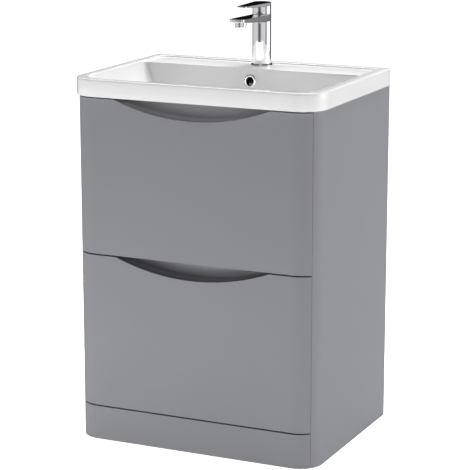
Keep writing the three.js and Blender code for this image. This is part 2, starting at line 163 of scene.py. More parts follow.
def turned(profile, centre, axis="Z", steps=96):
    """A profile of (radius, height) turned about an axis through centre (two coordinates).

    Point = centre + radius * (cos a, sin a), at that height along the axis; ends on the axis are
    closed by merging, and a profile that doesn't end on the axis is joined round to its start.
    """
    profile = np.asarray(profile, float)
    turn = np.linspace(0, 2 * np.pi, steps, endpoint=False)
    radius = profile[:, 0][:, None]
    p = radius * np.cos(turn)
    q = radius * np.sin(turn)
    h = np.broadcast_to(profile[:, 1][:, None], p.shape)
    if axis == "Z":
        points = np.stack([centre[0] + p, centre[1] + q, h], -1)
    else:
        points = np.stack([centre[0] + p, h, centre[1] + q], -1)
    open_ring = profile[0, 0] > 0 or profile[-1, 0] > 0
    quads = grid_quads(len(profile), steps, close_rows=open_ring, close_columns=True)
    return points.reshape(-1, 3), [quads]


def rounded_profile(corners, radius=0.0004, steps=4):
    """A (radius, height) outline with each corner replaced by a short curve.

    Point = (1 - t)^2 a + 2 t (1 - t) corner + t^2 b, where a and b are radius away from the
    corner along its two edges, or less where an edge is short. Corners on the axis stay.
    """
    corners = np.asarray(corners, float)
    out = []
    n = len(corners)
    for i, corner in enumerate(corners):
        if corner[0] <= 0:
            out.append(corner[None])
            continue
        before = corners[i - 1] - corner
        after = corners[(i + 1) % n] - corner
        reach = min(radius, 0.45 * np.linalg.norm(before), 0.45 * np.linalg.norm(after))
        a = corner + before / np.linalg.norm(before) * reach
        b = corner + after / np.linalg.norm(after) * reach
        t = np.linspace(0, 1, steps)[:, None]
        out.append((1 - t) ** 2 * a + 2 * t * (1 - t) * corner + t**2 * b)
    return np.concatenate(out)


# ------------------------------------------------------------------ finishes


def link(tree, out, socket):
    """Joins an output to an input."""
    tree.links.new(out, socket)


def math_node(tree, operation, a, b=None):
    """A Math node whose inputs are numbers or other nodes' outputs; returns its output."""
    node = tree.nodes.new("ShaderNodeMath")
    node.operation = operation
    for socket, value in zip(node.inputs, (a, b)):
        if value is None:
            continue
        if isinstance(value, (int, float)):
            socket.default_value = value
        else:
            tree.links.new(value, socket)
    return node.outputs[0]


def noise(tree, vector, scale, detail=2.0, roughness=0.5):
    """A Noise Texture's value; scale is a number or an output."""
    node = tree.nodes.new("ShaderNodeTexNoise")
    tree.links.new(vector, node.inputs["Vector"])
    if isinstance(scale, (int, float)):
        node.inputs["Scale"].default_value = scale
    else:
        tree.links.new(scale, node.inputs["Scale"])
    node.inputs["Detail"].default_value = detail
    node.inputs["Roughness"].default_value = roughness
    return node.outputs["Fac"]


def build_skin_group():
    """Broad clouds and a fine grain, shared by every finish.

    Colour = base colour x (1 - clouds x Clouding). Mask = clouds, for roughness.
    Height = grain, for a bump; Stretch below 1 draws the grain out along Y.
    """
    group = bpy.data.node_groups.new("surface_skin", "ShaderNodeTree")
    face = group.interface
    face.new_socket("Colour", in_out="INPUT", socket_type="NodeSocketColor")
    for name, value in (
        ("Clouding", 0.05),
        ("Cloud Scale", 6.0),
        ("Grain Scale", 700.0),
        ("Stretch", 1.0),
    ):
        face.new_socket(name, in_out="INPUT", socket_type="NodeSocketFloat").default_value = value
    face.new_socket("Colour", in_out="OUTPUT", socket_type="NodeSocketColor")
    face.new_socket("Mask", in_out="OUTPUT", socket_type="NodeSocketFloat")
    face.new_socket("Height", in_out="OUTPUT", socket_type="NodeSocketFloat")
    given = group.nodes.new("NodeGroupInput")
    result = group.nodes.new("NodeGroupOutput")
    place = group.nodes.new("ShaderNodeTexCoord").outputs["Object"]
    squeeze = group.nodes.new("ShaderNodeCombineXYZ")
    squeeze.inputs["X"].default_value = 1.0
    squeeze.inputs["Z"].default_value = 1.0
    link(group, given.outputs["Stretch"], squeeze.inputs["Y"])
    stretched = group.nodes.new("ShaderNodeVectorMath")
    stretched.operation = "MULTIPLY"
    link(group, place, stretched.inputs[0])
    link(group, squeeze.outputs[0], stretched.inputs[1])
    clouds = noise(group, place, given.outputs["Cloud Scale"], 4.0, 0.55)
    grain = noise(group, stretched.outputs[0], given.outputs["Grain Scale"], 2.0, 0.5)
    shade = math_node(group, "MULTIPLY", clouds, given.outputs["Clouding"])
    shade = math_node(group, "SUBTRACT", 1.0, shade)
    toned = group.nodes.new("ShaderNodeVectorMath")
    toned.operation = "SCALE"
    link(group, given.outputs["Colour"], toned.inputs[0])
    link(group, shade, toned.inputs["Scale"])
    link(group, toned.outputs[0], result.inputs["Colour"])
    link(group, clouds, result.inputs["Mask"])
    link(group, grain, result.inputs["Height"])
    return group


SKIN = build_skin_group()
BUMP_HEIGHT = 0.0003


def finish(name, colour, rough, metallic=0.0, clouding=0.05, cloud_scale=6.0, grain_scale=700.0,
           stretch=1.0, bump=0.02, coat=0.0, gloss=0.5):
    """A Principled material on the shared skin; rough is (least, most) roughness."""
    material = bpy.data.materials.new(name)
    material.use_nodes = True
    tree = material.node_tree
    shader = tree.nodes["Principled BSDF"]
    skin = tree.nodes.new("ShaderNodeGroup")
    skin.node_tree = SKIN
    skin.inputs["Colour"].default_value = (*colour, 1)
    skin.inputs["Clouding"].default_value = clouding
    skin.inputs["Cloud Scale"].default_value = cloud_scale
    skin.inputs["Grain Scale"].default_value = grain_scale
    skin.inputs["Stretch"].default_value = stretch
    link(tree, skin.outputs["Colour"], shader.inputs["Base Color"])
    spread = tree.nodes.new("ShaderNodeMapRange")
    for socket, value in zip(("From Min", "From Max", "To Min", "To Max"), (0.3, 0.7, *rough)):
        spread.inputs[socket].default_value = value
    link(tree, skin.outputs["Mask"], spread.inputs["Value"])
    link(tree, spread.outputs["Result"], shader.inputs["Roughness"])
    raised = tree.nodes.new("ShaderNodeBump")
    raised.inputs["Strength"].default_value = bump
    raised.inputs["Distance"].default_value = BUMP_HEIGHT
    link(tree, skin.outputs["Height"], raised.inputs["Height"])
    link(tree, raised.outputs["Normal"], shader.inputs["Normal"])
    shader.inputs["Metallic"].default_value = metallic
    shader.inputs["Coat Weight"].default_value = coat
    shader.inputs["Specular IOR Level"].default_value = gloss
    return material


PAINT = finish("satin_grey_paint", (0.229, 0.231, 0.249), (0.46, 0.54), clouding=0.03,
               cloud_scale=5.0, grain_scale=900.0, bump=0.05, gloss=0.25)
# The pocket's grey is lighter than the fronts' paint. This is painted light: it lifts the recessed
# shelf and plate, which the lamps reach less than the face.
POCKET_PAINTED_LIGHT = finish("grip_pocket_painted_light", (0.34, 0.341, 0.363), (0.5, 0.58), clouding=0.04,
                cloud_scale=7.0, grain_scale=900.0, bump=0.06, gloss=0.25)
MELAMINE = finish("pale_grey_melamine", (0.48, 0.485, 0.49), (0.5, 0.6), clouding=0.06,
                  cloud_scale=14.0, grain_scale=1600.0, bump=0.15)
DRAWER = finish("drawer_melamine", (0.56, 0.565, 0.57), (0.45, 0.55), clouding=0.05,
                cloud_scale=12.0, grain_scale=1500.0, bump=0.15)
CAST = finish("white_gel_coat", (0.752, 0.752, 0.749), (0.08, 0.14), clouding=0.012,
              cloud_scale=4.0, grain_scale=260.0, bump=0.01, coat=0.3)
CHROME = finish("polished_chrome", (0.86, 0.865, 0.875), (0.03, 0.06), 1.0, clouding=0.02,
                cloud_scale=30.0, grain_scale=500.0, bump=0.004)
STEEL = finish("zinc_plated_steel", (0.55, 0.56, 0.58), (0.26, 0.4), 1.0, clouding=0.2,
               cloud_scale=45.0, grain_scale=900.0, stretch=0.06, bump=0.15)
BRASS = finish("turned_brass", (0.62, 0.45, 0.2), (0.25, 0.38), 1.0, clouding=0.15,
               cloud_scale=50.0, grain_scale=900.0, bump=0.1)
RUBBER = finish("black_rubber", (0.02, 0.02, 0.021), (0.6, 0.75), clouding=0.2,
                cloud_scale=80.0, grain_scale=900.0, bump=0.2)
FINISHES = {
    "painted_board": PAINT,
    "carcass_board": MELAMINE,
    "drawer_board": DRAWER,
    "cast_white": CAST,
    "chrome": CHROME,
    "runner_steel": STEEL,
    "brass": BRASS,
    "black_rubber": RUBBER,
}


# ------------------------------------------------------------------ curved fronts, plinth, sides


def front_path(depth):
    """The face line from seam to seam: arc, flat, arc. depth is how far back each arc runs."""
    turn = math.acos(1 - depth / CORNER)
    phi = np.linspace(0, turn, 25)
    arc_x = HALF - CORNER + CORNER * np.sin(phi)
    arc_y = FACE + CORNER * (1 - np.cos(phi))
    flat = np.linspace(-(HALF - CORNER), HALF - CORNER, 99)[1:-1]
    flat = np.sort(np.append(flat, [-GRIP_CHORD, GRIP_CHORD]))
    x = np.concatenate([-arc_x[::-1], flat, arc_x])
    y = np.concatenate([arc_y[::-1], np.full(len(flat), FACE), arc_y])
    return x, y


def crescent(x, top):
    """Height of the top edge: a shallow arc of GRIP_RADIUS between -GRIP_CHORD and GRIP_CHORD."""
    inside = np.abs(x) < GRIP_CHORD
    reach = np.sqrt(GRIP_RADIUS**2 - np.where(inside, x, GRIP_CHORD) ** 2)
    return np.where(inside, top - GRIP_DROP + GRIP_RADIUS - reach, top)


def curved_board(low, high, shaped):
    """Between the face line and the flat back plane, from low up to high or to the crescent."""
    x, y = front_path(BOARD)
    n = len(x)
    back = slice(1, n - 1)
    outline = np.concatenate(
        [np.column_stack([x, y]), np.column_stack([x[back], np.full(n - 2, FACE + BOARD)])]
    )
    edge = crescent(outline[:, 0], high) if shaped else np.full(len(outline), high)
    points = np.concatenate(
        [np.column_stack([outline, np.full(len(outline), low)]), np.column_stack([outline, edge])]
    )
    m = len(outline)
    face = np.arange(n)
    rear = np.concatenate([[0], np.arange(n, m), [n - 1]])
    strips = []
    for line in (face, rear):
        strips.append(np.stack([line[:-1], line[1:], line[1:] + m, line[:-1] + m], -1))
    for lift in (0, m):
        strips.append(np.stack([face[1:-2], face[2:-1], rear[2:-1], rear[1:-2]], -1) + lift)
        ends = [[0, 1, rear[1]], [n - 1, rear[-2], n - 2]]
        strips.append(np.array(ends) + lift)
    return points, strips


for node in ("plinth", "upper_drawer_front", "lower_drawer_front"):
    low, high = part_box(node)[0][2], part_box(node)[1][2]
    shaped = node != "plinth"
    make_piece(
        f"{node}_board",
        [curved_board(low, high, shaped)],
        PAINT,
        node.replace("_front", "") if shaped else "cabinet",
        (node,),
        bevel=BOARD_ROUND,
    )


def side_outline(side):
    """Plan of a side: the corner post carries on the fronts' arc, then a straight board."""
    start = math.acos(1 - (BOARD + SEAM) / CORNER)
    phi = np.linspace(start, math.pi / 2, 33)
    x = HALF - CORNER + CORNER * np.sin(phi)
    y = FACE + CORNER * (1 - np.cos(phi))
    post_end = FACE + POST_END
    outline = [(POST_INNER, FACE + BOARD + SEAM), *zip(x, y), (HALF, BACK)]
    outline += [(HALF - BOARD, BACK), (HALF - BOARD, post_end), (POST_INNER, post_end)]
    return np.array(outline) * (side, 1)


for side, word in ((1, "right"), (-1, "left")):
    node = f"side_panel_{word}"
    low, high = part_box(node)
    shell = upright(side_outline(side), low[2], high[2])
    make_piece(f"{node}_board", [shell], PAINT, "cabinet", (node,),
               bevel=BOARD_ROUND)


def grip_pocket(node):
    """Sections across: a shelf that follows the crescent, a small cove, and an upright plate."""
    low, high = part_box(node)
    front, back, top = low[1], high[1], high[2]
    rim = top + GRIP_LIP
    plate = FACE + GRIP_DEPTH
    x = np.linspace(low[0], high[0], 171)
    shelf = np.minimum(crescent(x, rim), top)
    cove = np.minimum(GRIP_COVE, top - shelf)
    turn = np.linspace(0, math.pi / 2, 6)
    y = [np.full_like(x, front), np.full_like(x, front)]
    z = [np.full_like(x, low[2]), shelf]
    for t in turn:
        y.append(plate - cove + cove * math.sin(t))
        z.append(shelf + cove * (1 - math.cos(t)))
    y += [np.full_like(x, plate), np.full_like(x, back), np.full_like(x, back)]
    z += [np.full_like(x, top), np.full_like(x, top), np.full_like(x, low[2])]
    y, z = np.stack(y, 1), np.stack(z, 1)
    return across(np.stack([np.broadcast_to(x[:, None], y.shape), y, z], -1))


for level in ("upper", "lower"):
    node = f"{level}_grip_housing"
    make_piece(f"{level}_grip_pocket", [grip_pocket(node)], POCKET_PAINTED_LIGHT, f"{level}_drawer",
               (node,), bevel=BOARD_ROUND)


# ------------------------------------------------------------------ basin

RIM_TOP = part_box("basin")[1][2]
SKIRT_LOW = RIM_TOP - 0.040
DECK = RIM_TOP - 0.003
# Half width, front and back from the face plane, front and back corner radii.
OUTER = (HALF + 0.005, -0.007, 0.445, CORNER + 0.006, 0.010)
SKIRT_ROUND, LIP_ROUND, DECK_ROUND, FOOT_ROUND = 0.0045, 0.0024, 0.0016, 0.0012
BOWL_HALF, BOWL_FRONT, BOWL_BACK, BOWL_DEEP = 0.280, 0.010, 0.322, 0.108
SIDE_DRAUGHT = 0.028  # how far each side leans in over the whole depth
RAMP_RUN, RAMP_POWER = 0.150, 0.85  # the front's run over the whole depth, and how it starts
SIDE_UNDER, BACK_UNDER = 0.045, 0.030  # how far the sides and the back round under
FRONT_ROUND, FRONT_ROUND_MORE = 0.050, 0.010  # corner radius at the rim, and what depth adds
BACK_ROUND, BACK_ROUND_MORE = 0.012, 0.014
STEEP_SHARE, WALL_SHARE = 0.14, 0.48  # shares of the depth where the rings are spaced anew
DECK_BACK, DECK_CORNER = 0.419, 0.026
DRAIN_BOSS, DRAIN_BOSS_DEEP = 0.040, 0.015
JOIN_LINE, MIDDLE_HALF = 0.300, 0.024  # where a side is split, and the fine stretch of the back
DRAIN = (0.0, (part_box("waste_plug")[0][1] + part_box("waste_plug")[1][1]) / 2)
DRAIN_RADIUS = 0.023
OVERFLOW_Z = (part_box("overflow_ring")[0][2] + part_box("overflow_ring")[1][2]) / 2
OVERFLOW_RADIUS, OVERFLOW_SNAP, OVERFLOW_REACH = 0.0118, 0.0013, 0.006
WALL = 0.009


def ring(half, front, back, front_round, back_round, z):
    """A closed outline, counter-clockwise from above; front and back are behind the face plane.

    The points are shared out the same way on every ring, so rings join point to point: front
    corners, front, sides up to a join line, sides beyond it, back corners and back.
    """
    y0, y1 = FACE + front, FACE + back
    join = min(FACE + JOIN_LINE, y1 - back_round - 0.002)
    quarter = np.linspace(0, math.pi / 2, 15)

    def arc(cx, cy, r, start):
        return np.column_stack([cx + r * np.cos(start + quarter), cy + r * np.sin(start + quarter)])

    def run(a, b, t):
        a, b = np.array(a), np.array(b)
        return a + (b - a) * t[:, None]

    even = np.linspace(0, 1, 42)[1:-1]
    middle = MIDDLE_HALF / max(half - back_round, 0.05)
    fine = np.concatenate(
        [np.linspace(-1, -middle, 20)[1:], np.linspace(-middle, middle, 21)[1:],
         np.linspace(middle, 1, 20)[1:-1]]
    )
    fine = (fine + 1) / 2
    short = np.linspace(0, 1, 7)[1:-1]
    x1, xr = half - front_round, half - back_round
    points = np.concatenate([
        arc(-x1, y0 + front_round, front_round, math.pi),
        run((-x1, y0), (x1, y0), even),
        arc(x1, y0 + front_round, front_round, 1.5 * math.pi),
        run((half, y0 + front_round), (half, join), even),
        run((half, join), (half, y1 - back_round), np.append(0, short)),
        arc(xr, y1 - back_round, back_round, 0),
        run((xr, y1), (-xr, y1), fine),
        arc(-xr, y1 - back_round, back_round, math.pi / 2),
        run((-half, y1 - back_round), (-half, join), np.append(short, 1)),
        run((-half, join), (-half, y0 + front_round), even),
    ])
    return np.column_stack([points, np.full(len(points), z)])


def bowl_half(share):
    """Half the bowl's width at that share of its depth, before it rounds under."""
    return BOWL_HALF - SIDE_DRAUGHT * share


def bowl_front(share):
    """The front ramp: how far behind the face plane it is at that share of the depth."""
    return BOWL_FRONT + RAMP_RUN * share**RAMP_POWER


def bowl_front_round(share):
    """The radius of the bowl's front corners at that share of its depth."""
    return FRONT_ROUND + FRONT_ROUND_MORE * share


def bowl_ring(share, grow=0.0):
    """The bowl at that share of its depth: sides draw in, then round under; the front is a ramp."""
    under = 1 - math.sqrt(max(0.0, 1 - share * share))
    return ring(
        bowl_half(share) - SIDE_UNDER * under + grow,
        bowl_front(share) - grow,
        BOWL_BACK - BACK_UNDER * under + grow,
        bowl_front_round(share),
        BACK_ROUND + BACK_ROUND_MORE * share,
        RIM_TOP - BOWL_DEEP * share - grow,
    )


def circle_like(outline, radius, z):
    """A circle round the drain whose points lie in the same directions as the outline's."""
    away = outline[:, :2] - DRAIN
    away /= np.linalg.norm(away, axis=1)[:, None]
    return np.column_stack([np.array(DRAIN) + radius * away, np.full(len(outline), z)])


def basin_rings():
    """The whole basin as one closed section of rings: skirt, rim, deck, bowl, drain, underside."""
    rings = []

    def shrunk(d, z):
        half, front, back, front_round, back_round = OUTER
        return ring(half - d, front + d, back - d, front_round - d, back_round - d, z)

    rings.append(shrunk(FOOT_ROUND, SKIRT_LOW))
    rings.append(shrunk(FOOT_ROUND / 4, SKIRT_LOW + FOOT_ROUND / 4))
    rings.append(shrunk(0.0, SKIRT_LOW + FOOT_ROUND))
    for t in np.linspace(0, math.pi / 2, 8):
        drawn_in = SKIRT_ROUND * (1 - math.cos(t))
        rings.append(shrunk(drawn_in, RIM_TOP - SKIRT_ROUND * (1 - math.sin(t))))
    for t in np.linspace(0, math.pi / 2, 7):
        d = LIP_ROUND * (1 - math.sin(t))
        rings.append(ring(BOWL_HALF + d, BOWL_FRONT - d, DECK_BACK + d, FRONT_ROUND + d,
                          DECK_CORNER + d, RIM_TOP - LIP_ROUND * (1 - math.cos(t))))
    at_deck = (RIM_TOP - DECK) / BOWL_DEEP
    rings.append(ring(bowl_half(at_deck), bowl_front(at_deck), DECK_BACK, 0.0503, DECK_CORNER,
                      DECK))
    for t in np.linspace(0, math.pi / 2, 5):
        drop = DECK_ROUND * (1 - math.cos(t))
        share = at_deck + drop / BOWL_DEEP
        rings.append(ring(bowl_half(share), bowl_front(share),
                          BOWL_BACK + DECK_ROUND * (1 - math.sin(t)), bowl_front_round(share),
                          BACK_ROUND + 0.0005, DECK - drop))
    start = at_deck + DECK_ROUND / BOWL_DEEP
    shares = np.concatenate([
        np.linspace(start, STEEP_SHARE, 6)[1:], np.linspace(STEEP_SHARE, WALL_SHARE, 18)[1:],
        np.sin(np.linspace(math.asin(WALL_SHARE), math.pi / 2, 22))[1:],
    ])
    rings.extend(bowl_ring(share) for share in shares)
    floor = rings[-1]
    for t in np.linspace(0, 1, 12)[1:]:
        blend = 1 - (1 - t) ** 1.3
        level = circle_like(floor, DRAIN_RADIUS, floor[0, 2])
        rings.append(floor + (level - floor) * blend)
    below = RIM_TOP - BOWL_DEEP - WALL
    boss_low = below - DRAIN_BOSS_DEEP
    for radius, z in ((DRAIN_RADIUS, boss_low), (DRAIN_BOSS, boss_low), (DRAIN_BOSS, below)):
        rings.append(circle_like(floor, radius, z))
    under = np.sin(np.linspace(math.pi / 2, math.asin(0.30), 14))
    rings.extend(bowl_ring(share, WALL) for share in under)
    last = bowl_ring(0.29, WALL)
    last[:, 2] = SKIRT_LOW
    rings.append(last)
    return np.stack(rings)


def open_overflow(points, quads):
    """Draws the nearest grid points onto a circle in the back wall and takes out what is inside.

    A point or a quad is in the wall when it is within OVERFLOW_REACH of the wall's own plane, and
    a point is near the circle when it is within OVERFLOW_SNAP of it.
    """
    span = points[quads].mean(1)
    wall_y = FACE + BOWL_BACK
    near = np.abs(points[:, 1] - wall_y) < OVERFLOW_REACH
    away = points[:, [0, 2]] - (0.0, OVERFLOW_Z)
    distance = np.linalg.norm(away, axis=1)
    snap = near & (np.abs(distance - OVERFLOW_RADIUS) < OVERFLOW_SNAP)
    scaled = away[snap] / distance[snap, None] * OVERFLOW_RADIUS
    points[snap, 0] = scaled[:, 0]
    points[snap, 2] = scaled[:, 1] + OVERFLOW_Z
    gap = np.linalg.norm(span[:, [0, 2]] - (0.0, OVERFLOW_Z), axis=1) < OVERFLOW_RADIUS
    gap &= np.abs(span[:, 1] - wall_y) < OVERFLOW_REACH
    return points, quads[~gap]


def build_basin():
    """The rings joined in one closed skin, with the overflow hole opened in it."""
    rings = basin_rings()
    count, around = rings.shape[:2]
    quads = grid_quads(count, around, close_rows=True, close_columns=True)
    points, quads = open_overflow(rings.reshape(-1, 3), quads)
    make_piece("cast_basin", [(points, [quads])], CAST, "cabinet", ("basin",),
               sharp=50)


build_basin()


# ------------------------------------------------------------------ mixer tap

TAP_LOW, TAP_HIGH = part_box("tap_body")
TAP_RADIUS = TAP_HIGH[0]
TAP_AXIS = (0.0, TAP_HIGH[1] - TAP_RADIUS)
# Of the spout and of the lever: half width and corner radius at the tip, then the edge round.
SPOUT_TIP_HALF, SPOUT_TIP_ROUND, SPOUT_EDGE = 0.018, 0.008, 0.0012
LEVER_TIP_HALF, LEVER_TIP_ROUND, LEVER_EDGE = 0.012, 0.005, 0.0010
# Thickness at the tip, the underside at the neck below the rear's top, and the top's fall.
SPOUT_TIP_THICK, SPOUT_NECK_DEEP, SPOUT_FALL = 0.008, 0.016, 0.003
LEVER_TIP_THICK, LEVER_NECK_DEEP, LEVER_FALL = 0.003, 0.009, 0.001
# The lever's hollow cap: its wall and roof, and how far it reaches below the frame's lever.
CAP_WALL, CAP_ROOF, CAP_DROP = 0.002, 0.008, 0.0006
CHROME_EDGE = 40  # degrees: edges of the chrome pieces sharper than this stay hard


def paddle(reach, tip_half, tip_round, radius=TAP_RADIUS):
    """Half of a plan outline, from the back round to the tip: quarter circle, taper, round tip."""
    cx, cy = TAP_AXIS
    t = np.linspace(math.pi / 2, 0, 40)
    rear = np.column_stack([cx + radius * np.cos(t), cy + radius * np.sin(t)])
    tip = cy - reach
    t = np.linspace(0, -math.pi / 2, 14)
    centre = (tip_half - tip_round, tip + tip_round)
    front = np.column_stack(
        [cx + centre[0] + tip_round * np.cos(t), centre[1] + tip_round * np.sin(t)]
    )
    taper = rear[-1] + (front[0] - rear[-1]) * np.linspace(0, 1, 24)[1:-1, None]
    return np.concatenate([rear, taper, front])


def plate(half, low, high, edge):
    """A plate with rounded edges, mirrored left to right; low and high give height from y.

    Each ring is the outline drawn in by edge * (1 - sin t) and lifted by edge * (1 - cos t), and
    each flat face is a row of strips from side to side, so it may slope.
    """
    along = np.gradient(half, axis=0)
    out = np.column_stack([-along[:, 1], along[:, 0]])
    out /= np.linalg.norm(out, axis=1)[:, None]
    out[0], out[-1] = (0, 1), (0, -1)
    steps = np.linspace(0, math.pi / 2, 5)
    rings = []
    for t in steps:
        line = half - out * edge * (1 - math.sin(t))
        rings.append(np.column_stack([line, low(line[:, 1]) + edge * (1 - math.cos(t))]))
    for t in steps[::-1]:
        line = half - out * edge * (1 - math.sin(t))
        rings.append(np.column_stack([line, high(line[:, 1]) - edge * (1 - math.cos(t))]))
    right = np.stack(rings)
    left = right[:, ::-1] * (-1, 1, 1)
    whole = np.concatenate([right, left], 1)
    rows, n = whole.shape[:2]
    walls = grid_quads(rows, n, close_columns=True)
    a = np.arange(n // 2 - 1)
    strip = np.stack([a, a + 1, n - 2 - a, n - 1 - a], -1)
    return whole.reshape(-1, 3), [walls, strip, strip + (rows - 1) * n]


def build_tap():
    """A turned column and cap, each with a tapering plate, on a turned foot ring."""
    spout_top = TAP_HIGH[2]
    reach = TAP_AXIS[1] - TAP_LOW[1]
    tip, neck = TAP_LOW[1], TAP_AXIS[1] - TAP_RADIUS
    neck_top = spout_top - SPOUT_FALL
    column_top = spout_top - 0.005
    column = rounded_profile(
        [(0, TAP_LOW[2]), (TAP_RADIUS, TAP_LOW[2]), (TAP_RADIUS, column_top), (0, column_top)],
        0.0005)
    spout = plate(
        paddle(reach, SPOUT_TIP_HALF, SPOUT_TIP_ROUND),
        lambda y: np.interp(
            y, [tip, neck], [spout_top - SPOUT_TIP_THICK, neck_top - SPOUT_NECK_DEEP]),
        lambda y: np.interp(y, [tip, neck], [spout_top, neck_top]),
        SPOUT_EDGE,
    )
    nozzle_y = (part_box("tap_aerator")[0][1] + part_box("tap_aerator")[1][1]) / 2
    low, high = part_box("tap_aerator")[0][2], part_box("tap_aerator")[1][2]
    inner, outer, boss_low, boss_high = 0.009, 0.0135, high + 0.0003, high + 0.008
    boss = rounded_profile(
        [(inner, boss_low), (outer, boss_low), (outer, boss_high), (inner, boss_high)], 0.0003)
    make_piece(
        "tap_casting",
        [turned(column, TAP_AXIS), spout, turned(boss, (0, nozzle_y))],
        CHROME, "cabinet", ("tap_body",), sharp=CHROME_EDGE,
    )
    nozzle = rounded_profile(
        [(0.008, low + 0.001), (0.0105, low), (0.0126, low), (0.013, high), (0.008, high)], 0.0004)
    make_piece("tap_nozzle", [turned(nozzle, (0, nozzle_y))], CHROME, "cabinet",
               ("tap_aerator",), sharp=CHROME_EDGE)

    lever_low, lever_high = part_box("tap_lever")
    cap_low, tip_top = lever_low[2], lever_high[2]
    tip = lever_low[1]
    rear = lever_high[1]
    rear_top = tip_top - LEVER_FALL
    handle = plate(
        paddle(TAP_AXIS[1] - tip, LEVER_TIP_HALF, LEVER_TIP_ROUND),
        lambda y: np.interp(
            y, [tip, neck], [tip_top - LEVER_TIP_THICK, rear_top - LEVER_NECK_DEEP]),
        lambda y: np.interp(y, [tip, rear], [tip_top, rear_top]),
        LEVER_EDGE,
    )
    cap_top = rear_top - 0.004  # inside the lever plate
    cap_foot = cap_low - CAP_DROP
    hollow, roof = TAP_RADIUS - CAP_WALL, cap_top - CAP_ROOF
    cap = rounded_profile(
        [(0, roof), (hollow, roof), (hollow, cap_foot), (TAP_RADIUS, cap_foot),
         (TAP_RADIUS, cap_top), (0, cap_top)], 0.0004)
    make_piece("tap_handle", [handle, turned(cap, TAP_AXIS)], CHROME, "tap_handle",
               ("tap_lever",), sharp=CHROME_EDGE)

    ring_low, ring_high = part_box("tap_base_ring")
    r = ring_high[0]
    bore = 0.0155
    collar = rounded_profile(
        [(bore, ring_low[2]), (r, ring_low[2]), (r, ring_low[2] + 0.0012),
         (r - 0.002, ring_high[2]), (bore, ring_high[2])], 0.0005)
    make_piece("tap_foot_ring", [turned(collar, TAP_AXIS)], CHROME, "cabinet",
               ("tap_base_ring",), sharp=CHROME_EDGE)


build_tap()


def build_waste_fitting():
    """A flanged tube, with a hub for the stopper's stem on two spokes."""
    low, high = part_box("waste_body")
    bore, tube, flange = 0.0185, 0.0218, high[0]
    seat = high[2] - 0.0025
    body = rounded_profile(
        [(bore, low[2]), (tube, low[2]), (tube, seat), (flange, seat),
         (flange - 0.0008, seat + 0.001), (flange - 0.004, high[2]), (bore, high[2])], 0.0006)
    hub_low = high[2] - 0.0288
    hub_high = hub_low + 0.006
    hub_bore, hub_outer, spoke_half = 0.0049, 0.008, 0.0015
    hub = rounded_profile(
        [(hub_bore, hub_low), (hub_outer, hub_low), (hub_outer, hub_high), (hub_bore, hub_high)])
    spoke = np.array([(-spoke_half, hub_low), (spoke_half, hub_low), (spoke_half, hub_high),
                      (-spoke_half, hub_high)])
    spokes = []
    for side in (1, -1):
        rows = [np.column_stack([np.full(4, side * x), DRAIN[1] + spoke[:, 0], spoke[:, 1]])
                for x in (hub_outer - 0.0005, bore + 0.0005)]
        spokes.append(across(np.stack(rows)))
    make_piece("waste_fitting", [turned(body, DRAIN), turned(hub, DRAIN), *spokes], CHROME,
               "cabinet", ("waste_body",), sharp=CHROME_EDGE)


def build_overflow_trim():
    """A rounded flange against the bowl's back wall, with a sleeve that goes through it."""
    low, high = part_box("overflow_ring")
    r = high[0]
    front, back = low[1], high[1]
    bore, sleeve, seat = r - 0.0043, r - 0.0033, front + 0.0023
    profile = rounded_profile(
        [(bore, front + 0.0005), (r - 0.002, front), (r, front + 0.0012), (r, seat),
         (sleeve, seat), (sleeve, back), (bore, back)], 0.0004)
    make_piece("overflow_trim", [turned(profile, (0, OVERFLOW_Z), "Y")], CHROME, "cabinet",
               ("overflow_ring",), sharp=CHROME_EDGE)


def build_stopper():
    """A stem, a neck that goes down the bore, and a low dome."""
    low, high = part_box("waste_plug")
    r, top = high[0], high[2]
    stem, neck, brim = 0.0043, 0.0175, top - 0.006
    plug = rounded_profile(
        [(0, low[2]), (stem, low[2]), (stem, top - 0.0154), (neck, top - 0.0124), (neck, brim),
         (r, brim), (r - 0.001, top - 0.0025), (0.016, top - 0.0004), (0, top)], 0.0012, 6)
    make_piece("waste_stopper", [turned(plug, DRAIN)], CHROME, "waste_plug",
               ("waste_plug",), sharp=CHROME_EDGE)


build_waste_fitting()
build_overflow_trim()
build_stopper()


# ------------------------------------------------------------------ screws and the tap's insert


def screw_head(radius, height, steps=36):
    """A low dome with a cross pressed in: height * ((1 - 0.75 r^2)^0.5 - 0.55 * dip), r from 0 to 1.

    The dip is whole where either plane coordinate is under 0.12 and r is under 0.52, and has
    faded out where both are over 0.2 or r is over 0.62. Returns (u, v, lift) on a grid of rings.
    """
    r = np.concatenate([[0.0], np.linspace(0.08, 1.0, 16)])[:, None]
    turn = np.linspace(0, 2 * np.pi, steps, endpoint=False)[None]
    u, v = r * np.cos(turn), r * np.sin(turn)
    lift = np.sqrt(1 - 0.75 * r**2) * np.ones_like(turn)
    arm = np.minimum(np.abs(u), np.abs(v))
    pressed = np.clip((0.2 - arm) / 0.08, 0, 1) * np.clip((0.62 - r) / 0.1, 0, 1)
    lift = lift - 0.55 * pressed
    skirt = np.zeros((1, steps))
    u, v = np.concatenate([u, u[-1:]]), np.concatenate([v, v[-1:]])
    lift = np.concatenate([lift, skirt])
    return u * radius, v * radius, lift * height


def screws(name, places, facing, body, radius=0.0038, height=0.0016):
    """Screw heads at places, all looking along facing (+1 or -1, axis)."""
    sign, axis = facing
    u, v, lift = screw_head(radius, height)
    rings, steps = u.shape
    quads = grid_quads(rings, steps, close_columns=True)
    back = [[*range((rings - 1) * steps, rings * steps)]]
    shells = []
    for x, y, z in places:
        if axis == "X":
            points = np.stack([x + sign * lift, y + u, z + v], -1)
        else:
            points = np.stack([x + u, y + sign * lift, z + v], -1)
        shells.append((points.reshape(-1, 3), [quads, back]))
    make_piece(name, shells, STEEL, body, sharp=35)


